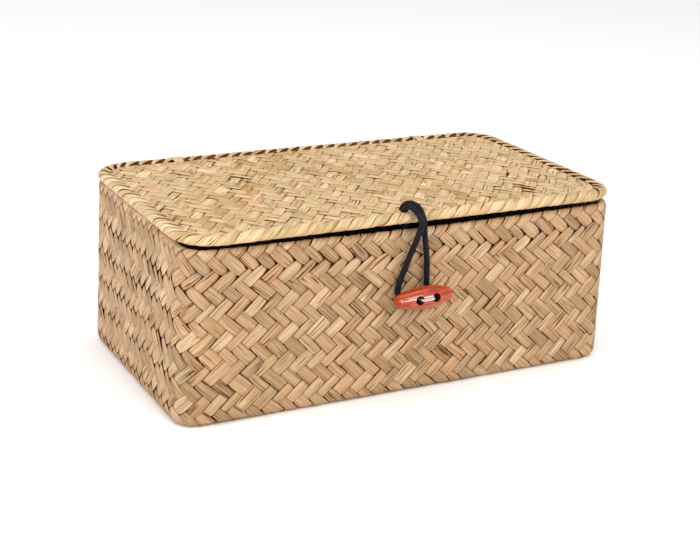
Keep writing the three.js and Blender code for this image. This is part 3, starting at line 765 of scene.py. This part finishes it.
def elasticMaterial():
    # Braided polyester over rubber: near black with a little blue, and fine ribs that catch thin lights.
    # Its colour is painted darker in the grooves between the ribs, as painted shade.
    inputs = {"IOR": 1.5, "Roughness": 0.36, "Specular IOR Level": 0.07}
    material, shader = newMaterial("braidedElastic", inputs)
    mark = addNode(material, "ShaderNodeAttribute", {}, attribute_name="fibre")
    parts = addNode(material, "ShaderNodeSeparateXYZ", {"Vector": (mark, "Vector")})
    rib = addNode(material, "ShaderNodeMath", {0: (parts, "Y")}, operation="ABSOLUTE")
    inputs = {0: (parts, "X"), 1: 2 * math.pi / (cord["stitch"] * mm)}
    stitch = addNode(material, "ShaderNodeMath", inputs, operation="MULTIPLY")
    wave = addNode(material, "ShaderNodeMath", {0: (stitch, "Value")}, operation="SINE")
    inputs = {0: (wave, "Value"), 1: 0.18, 2: (rib, "Value")}
    both = addNode(material, "ShaderNodeMath", inputs, operation="MULTIPLY_ADD")
    # Painted shade: darkest in the grooves between ribs, lighter on the ridges
    stops = [(0.0, "#08080A"), (0.55, "#131217"), (1.0, "#24232B")]
    colour = addNode(material, "ShaderNodeValToRGB", {"Fac": (both, "Value")}, stops)
    inputs = {"Strength": 0.5, "Distance": 0.15 * mm, "Height": (both, "Value")}
    bump = addNode(material, "ShaderNodeBump", inputs)
    setInputs(shader, {"Base Color": (colour, "Color"), "Normal": (bump, "Normal")})
    return material


elastic = elasticMaterial()


def makeCord():
    line, at = densePath(centripetal(cordRoute, 12), 0.5)
    rings = tubeRings(line, cord["diameter"] / 2, cord["sides"], cord["ribs"], cord["groove"], cord["turns"])
    loop = stripMesh("closureCord", [rings], elastic)
    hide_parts("closure_loop")
    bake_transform(loop)


makeCord()


# A trefoil knot drawn tight, inside a box of the given half sizes
def tightKnot(name, centre, halves, strand, upAxis, material, plies, groove):
    t = np.linspace(0, 2 * math.pi, 121)
    loop = np.stack([np.sin(t) + 2 * np.sin(2 * t), np.cos(t) - 2 * np.cos(2 * t), -np.sin(3 * t)], 1)
    loop /= np.abs(loop).max(0)
    loop = loop * (np.array(halves) - strand)
    if upAxis == "y":
        loop = loop[:, [0, 2, 1]]
    line = loop + np.array(centre)
    points, marks = tubeRings(line, strand, 20, plies, groove, 0.05, True)
    return stripMesh(name, [(points, marks)], material)


closureKnot = tightKnot("cordKnot", *cord["knot"], "z", elastic, 10, 0.08)
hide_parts("closure_knot")
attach(closureKnot, "lid")
print("cord made")

toggle = {
    "length": 28.2, "diameter": 10.6, "endDiameter": 5.4, "endRound": 1.3, "hole": 4.2, "spacing": 8.6,
    "centre": (-0.75, -72.72, 52), "pitch": -9, "tilt": -2.5, "flare": 0.5,
}
togglePose = (
    Matrix.Translation(toggle["centre"])
    @ Matrix.Rotation(math.radians(toggle["tilt"]), 4, "Y")
    @ Matrix.Rotation(math.radians(toggle["pitch"]), 4, "X")
)


# Grain drawn out along one direction, over a whole piece: for lacquered wood and for cane
def grainedMaterial(name, inputs, grain, detail, rough, stops, strength):
    material, shader = newMaterial(name, inputs)
    where = addNode(material, "ShaderNodeTexCoord", {})
    inputs = {0: (where, "Object"), 1: tuple(1 / (size * mm) for size in grain)}
    drawn = addNode(material, "ShaderNodeVectorMath", inputs, operation="MULTIPLY")
    inputs = {"Vector": (drawn, "Vector"), "Scale": 1.0, "Detail": detail, "Roughness": rough}
    noise = addNode(material, "ShaderNodeTexNoise", inputs)
    colour = addNode(material, "ShaderNodeValToRGB", {"Fac": (noise, "Fac")}, stops)
    inputs = {"Strength": strength, "Distance": 0.1 * mm, "Height": (noise, "Fac")}
    bump = addNode(material, "ShaderNodeBump", inputs)
    setInputs(shader, {"Base Color": (colour, "Color"), "Normal": (bump, "Normal")})
    return material


def cottonMaterial():
    # Cotton thread, twisted: matt and cream, with soft shadow between its plies.
    inputs = {"IOR": 1.47, "Roughness": 0.85, "Sheen Weight": 0.25, "Sheen Roughness": 0.5}
    material, shader = newMaterial("twistedCotton", inputs)
    mark = addNode(material, "ShaderNodeAttribute", {}, attribute_name="fibre")
    parts = addNode(material, "ShaderNodeSeparateXYZ", {"Vector": (mark, "Vector")})
    ply = addNode(material, "ShaderNodeMath", {0: (parts, "Y")}, operation="ABSOLUTE")
    stops = [(0.0, "#8A786C"), (0.5, "#C4B2A5"), (1.0, "#DCCEC3")]
    colour = addNode(material, "ShaderNodeValToRGB", {"Fac": (ply, "Value")}, stops)
    where = addNode(material, "ShaderNodeTexCoord", {})
    inputs = {"Vector": (where, "Object"), "Scale": 4.5 / mm, "Detail": 3.0}  # 4.5 tufts to a mm
    fluff = addNode(material, "ShaderNodeTexNoise", inputs)
    inputs = {"Strength": 0.4, "Distance": 0.1 * mm, "Height": (fluff, "Fac")}
    bump = addNode(material, "ShaderNodeBump", inputs)
    setInputs(shader, {"Base Color": (colour, "Color"), "Normal": (bump, "Normal")})
    return material


# The drilled holes are bare wood, coloured nearly black as painted shade deep inside them:
# they read as dark from the front.
boreShade = newMaterial("boreDarkAsShade", {"Base Color": toLinear("#2A0D08"), "Roughness": 0.7})[0]
# Hardwood turned, stained red and lacquered: grain under a clear coat with one long sharp highlight.
lacquer = grainedMaterial(
    "lacqueredHardwood",
    {
        "IOR": 1.5, "Roughness": 0.34, "Specular IOR Level": 0.1, "Coat Weight": 0.7,
        "Coat Roughness": 0.1, "Coat IOR": 1.55,
    },
    (9, 1.3, 1.3), 4.0, 0.6, [(0.3, "#741C08"), (0.5, "#A23410"), (0.72, "#C2541C")], 0.12,
)
cotton = cottonMaterial()


# A solid turned from (radius, along) points, whose first and last radius are nought
def turnedObject(name, outline, sides, axis, material):
    rings = [(r, a) for r, a in outline if r > 0]
    turn = 2 * math.pi * np.arange(sides) / sides
    points = [(r * math.cos(t), r * math.sin(t), a) for r, a in rings for t in turn]
    points += [(0, 0, outline[0][1]), (0, 0, outline[-1][1])]
    faces = []
    for k in range(len(rings) - 1):
        for i in range(sides):
            j = (i + 1) % sides
            faces.append((k * sides + i, k * sides + j, (k + 1) * sides + j, (k + 1) * sides + i))
    last = (len(rings) - 1) * sides
    for i in range(sides):
        j = (i + 1) % sides
        faces += [(len(points) - 2, j, i), (len(points) - 1, last + i, last + j)]
    points = np.array(points)
    points = points[:, [2, 0, 1]] if axis == "x" else points[:, [1, 2, 0]]
    mesh = bpy.data.meshes.new(name)
    mesh.from_pydata((points * mm).tolist(), [], faces)
    mesh.materials.append(material)
    return newObject(name, mesh)


def makeToggle():
    half = toggle["length"] / 2
    endRadius, rounding = toggle["endDiameter"] / 2, toggle["endRound"]
    swell = toggle["diameter"] / 2 - endRadius
    side = [(endRadius + swell * (1 - (a / half) ** 2), a) for a in np.linspace(0, half - rounding, 30)]
    foot = side[-1][0]
    for t in np.radians(np.linspace(10, 90, 9)):
        side.append((foot - rounding * (1 - math.cos(t)), half - rounding + rounding * math.sin(t)))
    side.append((0, half))
    outline = [(r, -a) for r, a in reversed(side[1:])] + side
    piece = turnedObject("woodenToggle", outline, 96, "x", lacquer)
    radius, flare = toggle["hole"] / 2, toggle["flare"]
    reach = toggle["diameter"] / 2
    drills = []
    for way in (-1, 1):
        bore = [(0, -reach - 2), (radius + 3 * flare, -reach - 2)]
        for t in np.radians(np.linspace(0, 90, 6)):
            bore.append((radius + flare * (1 - math.sin(t)), -reach + 1.3 * flare * (1 - math.cos(t))))
        bore += [(r, -a) for r, a in reversed(bore)]
        drill = turnedObject("drill", bore, 48, "y", boreShade)
        drill.location = (way * toggle["spacing"] / 2 * mm, 0, 0)
        drills.append(drill)
        cut = piece.modifiers.new("hole", "BOOLEAN")
        cut.operation, cut.solver, cut.object, cut.material_mode = "DIFFERENCE", "EXACT", drill, "TRANSFER"
    bpy.context.view_layer.update()
    done = bpy.data.meshes.new_from_object(piece.evaluated_get(bpy.context.evaluated_depsgraph_get()))
    piece.modifiers.clear()
    piece.data = done
    for drill in drills:
        bpy.data.objects.remove(drill)
    done.transform(Matrix.Scale(mm, 4) @ togglePose @ Matrix.Scale(1 / mm, 4))
    done.shade_smooth()
    done.set_sharp_from_angle(angle=math.radians(35))
    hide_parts("toggle")
    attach(piece, "toggle")


makeToggle()

thread = {
    "diameter": 0.62, "legs": 3.0, "back": 6.15, "front": -5.55, "bend": 1.1, "spread": 0.29,
    "shank": [(-0.75, -66.2, 51.2), (-0.75, -59.3, 52)], "shankDiameter": 2.4,
    "knot": ((-0.75, -57.8, 52), (2.55, 2.55, 1.25), 0.62), "plies": 3, "groove": 0.24,
}


# A line through the corners, each rounded by a quarter curve
def roundedLine(corners, radius):
    line = [np.array(corners[0], float)]
    for before, corner, after in zip(corners, corners[1:], corners[2:]):
        before, corner, after = (np.array(c, float) for c in (before, corner, after))
        a = corner + (before - corner) / np.linalg.norm(before - corner) * radius
        b = corner + (after - corner) / np.linalg.norm(after - corner) * radius
        for t in np.linspace(0, 1, 9):
            line.append((1 - t) ** 2 * a + 2 * t * (1 - t) * corner + t * t * b)
    line.append(np.array(corners[-1], float))
    return line


def makeThread():
    strips = []
    legs, back, front = thread["legs"], thread["back"], thread["front"]
    for way in (-1, 1):
        corners = [(0.2, back), (legs, back), (legs, front), (-legs, front), (-legs, back), (-0.2, back)]
        corners = [togglePose @ Vector((x, y, way * thread["spread"])) for x, y in corners]
        line, at = densePath(roundedLine(corners, thread["bend"]), 0.15)
        strips.append(tubeRings(line, thread["diameter"] / 2, 20, thread["plies"], thread["groove"], 0.4))
    piece = stripMesh("toggleThread", strips, cotton)
    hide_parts("toggle_thread")
    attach(piece, "toggle")
    line, at = densePath(thread["shank"], 0.12)
    rings = tubeRings(line, thread["shankDiameter"] / 2, 28, 4, thread["groove"], 0.45)
    shank = stripMesh("threadShank", [rings], cotton)
    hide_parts("toggle_shank")
    knot = tightKnot("threadKnot", *thread["knot"], "y", cotton, thread["plies"], 0.2)
    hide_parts("toggle_stop_knot")
    for part in (shank, knot):
        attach(part, "box")


makeThread()
print("toggle made")

# Split cane, scraped and bent: dull inside the straw, with long fibres and darker growth bands.
# Its dark red-brown is painted shade, for the gaps in the straw where the hoops show.
caneDarkAsShade = grainedMaterial(
    "splitCaneDarkAsShade", {"IOR": 1.5, "Roughness": 0.7, "Specular IOR Level": 0.15},
    (14, 14, 0.5), 3.0, 0.5, [(0.3, "#552C14"), (0.5, "#6A3A1C"), (0.7, "#80502C")], 0.3,
)
hoop = {"sides": 12, "plies": 4, "groove": 0.03, "steps": 401}


# Points round a hoop
def hoopOutline(around, top, inset, laid):
    return roundOutline(np.linspace(0, around, hoop["steps"]), *inner(*top, inset), laid)


def hoopMesh(name, line, diameter):
    rings = tubeRings(line, diameter / 2, hoop["sides"], hoop["plies"], hoop["groove"], 0.0, True)
    return stripMesh(name, [rings], caneDarkAsShade)


def makeRimHoop():
    x, y = hoopOutline(bodyAround, bodyTop, body["hoopInset"], bodyRun)
    line = np.stack([x, y, body["hoopHeight"] - rimDip(x, y, 84)], 1)
    piece = hoopMesh("rimCaneHoop", line, body["hoopDiameter"])
    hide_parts("rim_hoop")
    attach(piece, "box")


def makeLidHoop():
    x, y = hoopOutline(lidAround, lidTop, lid["hoopInset"], lidRun)
    line = np.stack([x, y, np.full(len(x), lid["middle"])], 1)
    piece = hoopMesh("lidCaneHoop", line, lid["hoopDiameter"])
    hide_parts("lid_hoop")
    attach(piece, "lid")


makeRimHoop()
makeLidHoop()
print("hoops made")

band = {
    "width": 5, "thickness": 0.55, "spacing": 140, "round": 1.6,
    "corners": [
        (57.7, 76.6), (63.5, 76.6), (65.2, 84.6), (65.2, 88.2), (63.6, 89.75), (55.0, 89.45), (55.0, 86.0),
    ],
}
bandSection = np.array([
    (-1, 0), (-0.92, 0.42), (-0.5, 0.5), (-0.06, 0.42), (0, 0.1), (0.06, 0.42), (0.5, 0.5), (0.92, 0.42),
    (1, 0), (0.92, -0.42), (0, -0.5), (-0.92, -0.42),
])


def makeBands():
    for side, middle in (("left", -band["spacing"] / 2), ("right", band["spacing"] / 2)):
        corners = [np.array(c, float) for c in band["corners"]]
        start = (corners[0] + corners[-1]) / 2
        line = roundedLine([start] + corners + [start], band["round"])
        line, at = densePath(line, 0.6)
        ahead = np.roll(line, -1, 0) - np.roll(line, 1, 0)
        ahead[0] = ahead[-1] = line[1] - line[-2]
        ahead /= np.linalg.norm(ahead, axis=1)[:, None]
        outward = np.stack([ahead[:, 1], -ahead[:, 0]], 1)
        over = bandSection[:, 1] * band["thickness"]
        flat = line[:, None] + outward[:, None] * over[None, :, None]
        x = middle + np.broadcast_to(bandSection[:, 0] * band["width"] / 2, flat.shape[:2])
        points = np.concatenate([x[..., None], flat], -1)
        across = np.broadcast_to(bandSection[:, 0] * markHalf, flat.shape[:2])
        marks = fibreMarks(at, across, 0.35 if side == "left" else 0.7, 0.6)
        piece = stripMesh("hingeBand" + side.capitalize(), [(points, marks)], lidSedge)
        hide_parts("hinge_band_" + side)
        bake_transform(piece)


makeBands()
print("hinge bands made")

studio = {
    "floorTone": "#FBFAF9", "floorHalf": 6000, "worldTone": "#FBFBFC", "worldStrength": 0.85,
    "aim": (0, 0, 45),
    "lamps": [
        ("keyLamp", (150, -1000, 900), (450, 450), 6.6, "#FFF9F0"),
        ("fillLamp", (-1000, -300, 500), (900, 700), 7, "#F8F8FF"),
        ("longLamp", (265, -870, 330), (900, 200), 12, "#FFFFFF"),
        ("topLamp", (0, 100, 1200), (1200, 900), 3.6, "#FFFFFF"),
    ],
}


def makeStudio():
    half = studio["floorHalf"] * mm
    mesh = bpy.data.meshes.new("floor")
    corners = [(-half, -half, 0), (half, -half, 0), (half, half, 0), (-half, half, 0)]
    mesh.from_pydata(corners, [], [(0, 1, 2, 3)])
    # Seamless paper: matt and nearly white.
    inputs = {"Roughness": 0.95, "Base Color": toLinear(studio["floorTone"])}
    mesh.materials.append(newMaterial("seamlessPaper", inputs)[0])
    newObject("floor", mesh)
    world = bpy.data.worlds.new("studio")
    world.use_nodes = True
    inputs = {"Color": toLinear(studio["worldTone"]), "Strength": studio["worldStrength"]}
    setInputs(world.node_tree.nodes["Background"], inputs)
    bpy.context.scene.world = world
    for name, place, size, power, tone in studio["lamps"]:
        data = bpy.data.lights.new(name, "AREA")
        data.shape = "RECTANGLE"
        data.size, data.size_y = size[0] * mm, size[1] * mm
        data.energy = power
        data.color = toLinear(tone)[:3]
        lamp = newObject(name, data)
        lamp.location = Vector(place) * mm
        ahead = Vector(studio["aim"]) - Vector(place)
        lamp.rotation_euler = ahead.to_track_quat("-Z", "Y").to_euler()
        lamp.visible_diffuse = name != "longLamp"  # the long one only draws highlights


makeStudio()
bpy.context.scene.view_settings.view_transform = "Standard"
print("studio lit")
